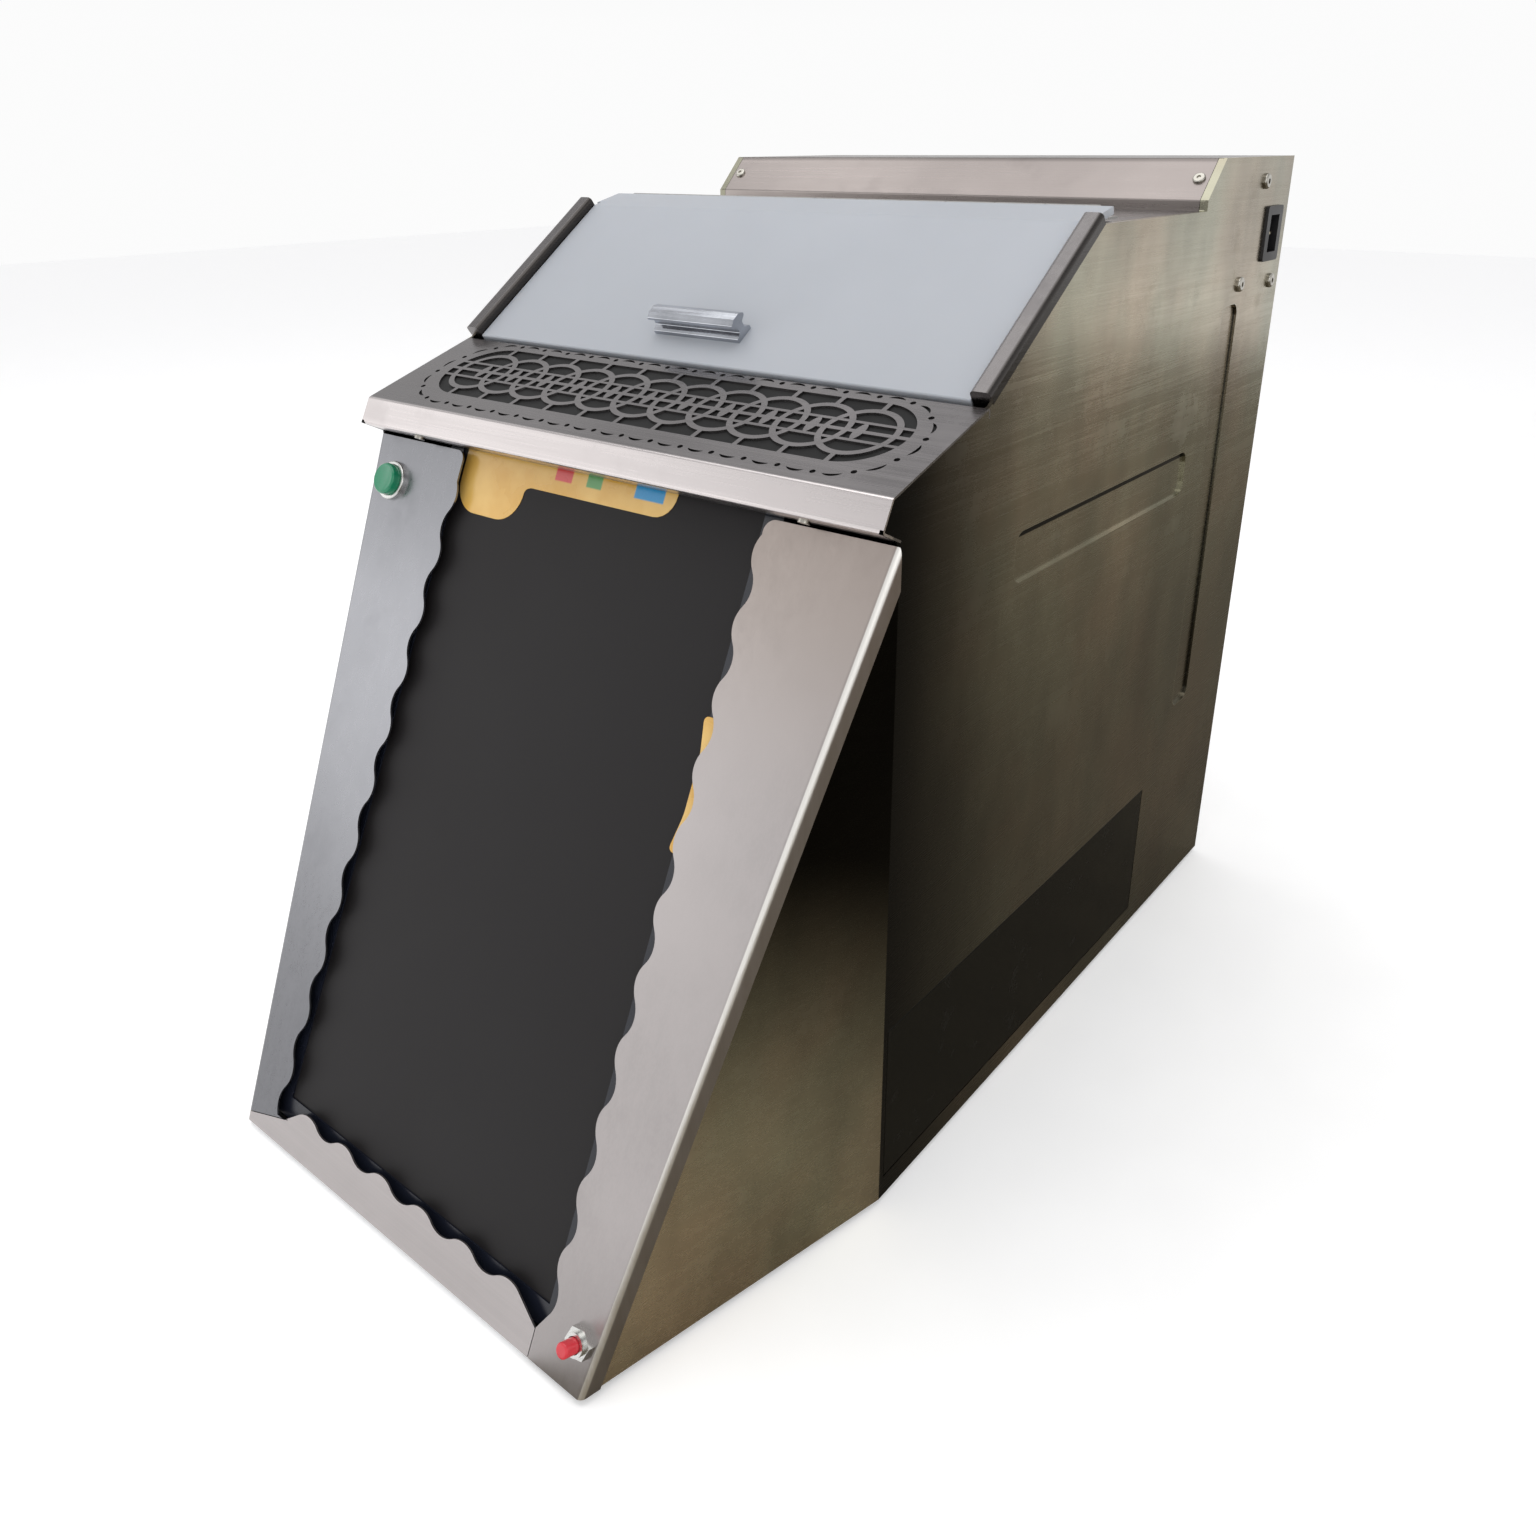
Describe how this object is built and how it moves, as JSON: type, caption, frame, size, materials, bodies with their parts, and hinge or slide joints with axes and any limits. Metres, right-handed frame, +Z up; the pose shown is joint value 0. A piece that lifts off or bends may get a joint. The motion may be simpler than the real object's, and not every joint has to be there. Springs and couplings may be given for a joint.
{
  "type": "trash compactor",
  "caption": "Bench-top trash compactor: stainless cabinet with leaning scalloped front round a portrait monitor, frosted hopper lid, screw-driven ram, drop gate and side waste drawer.",
  "frame": {"origin": "under the middle of the machine, on the surface that its feet stand on", "axes": "+X to the machine's right-hand side, +Y to the rear, +Z up"},
  "size_m": [0.405, 0.6963, 0.5675],
  "materials": {
    "cover_steel": "brushed, olive-brown reflections",
    "fascia_steel": "brushed, bright silver",
    "header_steel": "brushed, warm grey",
    "rail_steel": "brushed",
    "badge_black": "satin black",
    "frosted_acrylic": "frosted, bluish white",
    "handle_chrome": "polished",
    "screw_steel": "bright",
    "monitor_plastic": "semi-gloss black",
    "screen_glass": "dark screen, switched off",
    "bracket_zinc": "zinc plated",
    "button_silver": "satin nickel",
    "button_green": "glossy",
    "button_red": "glossy",
    "switch_black": "moulded",
    "plate_steel": "mill finish",
    "shaft_steel": "ground",
    "bronze": "machined",
    "cast_block": "cast",
    "pulley_aluminium": "machined",
    "belt_rubber": "moulded",
    "motor_paint": "satin paint",
    "drawer_gloss": "glossy, near black",
    "drawer_steel": "brushed",
    "board_green": "solder mask",
    "foot_rubber": "moulded"
  },
  "bodies": {
    "cabinet": {"side_panel_right": "cover_steel", "side_panel_left": "cover_steel", "cheek_right": "cover_steel", "cheek_left": "cover_steel", "slot_blanks": "cover_steel", "top_deck": "cover_steel", "back_panel": "cover_steel", "fascia_left": "fascia_steel", "fascia_right": "fascia_steel", "fascia_bottom": "fascia_steel", "header_cover": "header_steel", "rear_hood": "header_steel", "lid_rails": "rail_steel", "hinge_deck_leaf": "rail_steel", "chamber_liners": "rail_steel", "hopper_back": "rail_steel", "badge_backing": "badge_black", "panel_screws": "screw_steel", "hinge_pin": "screw_steel", "monitor_bezel": "monitor_plastic", "monitor_rear_case": "monitor_plastic", "screen_panel": "screen_glass", "monitor_brackets": "bracket_zinc", "base_plate": "bracket_zinc", "bulkhead": "bracket_zinc", "gate_guides": "bracket_zinc", "drawer_runners": "bracket_zinc", "power_supply": "bracket_zinc", "start_button_bezel": "button_silver", "stop_button_bushing": "button_silver", "button_bodies": "switch_black", "power_inlet": "switch_black", "limit_switches": "switch_black", "anvil_plate": "plate_steel", "guide_rods": "shaft_steel", "thrust_block": "cast_block", "drive_belt": "belt_rubber", "drive_motor": "motor_paint", "gate_motor": "motor_paint", "control_board": "board_green", "rubber_feet": "foot_rubber"},
    "lid": {"lid_panel": "frosted_acrylic", "lid_handle": "handle_chrome", "handle_screws": "screw_steel", "hinge_lid_leaf": "rail_steel"},
    "start_cap": {"start_button_cap": "button_green"},
    "stop_cap": {"stop_button_cap": "button_red"},
    "drawer": {"drawer_bin": "drawer_steel", "drawer_front": "drawer_gloss"},
    "ram": {"ram_plate": "plate_steel", "ram_carriage": "plate_steel", "ram_bushes": "bronze", "push_tube": "plate_steel", "lead_nut": "bronze"},
    "screw": {"lead_screw": "shaft_steel", "screw_pulley": "pulley_aluminium"},
    "motor_rotor": {"motor_pulley": "pulley_aluminium"},
    "gate": {"drop_gate": "plate_steel", "gate_rack": "plate_steel"},
    "pinion": {"gate_pinion": "screw_steel"}
  },
  "joints": [
    {"name": "lid_hinge", "type": "hinge", "parent": "cabinet", "child": "lid", "pos_m": [0, 0.073, 0.5415], "axis": [-1, 0, 0], "range_deg": [0, 128]},
    {"name": "start_press", "type": "slide", "parent": "cabinet", "child": "start_cap", "axis": [0, 0.9002, -0.4356], "range_m": [0, 0.003], "stiffness_N_per_m": 900, "springref_m": -0.002},
    {"name": "stop_press", "type": "slide", "parent": "cabinet", "child": "stop_cap", "axis": [0, 0.9002, -0.4356], "range_m": [0, 0.0025], "stiffness_N_per_m": 900, "springref_m": -0.002},
    {"name": "drawer_slide", "type": "slide", "parent": "cabinet", "child": "drawer", "axis": [1, 0, 0], "range_m": [0, 0.3]},
    {"name": "ram_slide", "type": "slide", "parent": "cabinet", "child": "ram", "axis": [0, -1, 0], "range_m": [0, 0.12]},
    {"name": "screw_spin", "type": "hinge", "parent": "cabinet", "child": "screw", "pos_m": [0, 0.15, 0.369], "axis": [0, 1, 0], "range_deg": [-1, 2161]},
    {"name": "motor_spin", "type": "hinge", "parent": "cabinet", "child": "motor_rotor", "pos_m": [0, 0.25, 0.281], "axis": [0, 1, 0], "range_deg": [-1, 4321]},
    {"name": "gate_slide", "type": "slide", "parent": "cabinet", "child": "gate", "axis": [0, 1, 0], "range_m": [0, 0.14]},
    {"name": "pinion_spin", "type": "hinge", "parent": "cabinet", "child": "pinion", "pos_m": [-0.179, 0.06, 0.133], "axis": [0, 0, 1], "range_deg": [-1, 1004]}
  ],
  "couplings": [
    {"joint": "screw_spin", "follows": "ram_slide", "rad_per_m": 314.16},
    {"joint": "motor_spin", "follows": "ram_slide", "rad_per_m": 628.32},
    {"joint": "pinion_spin", "follows": "gate_slide", "rad_per_m": 125}
  ]
}
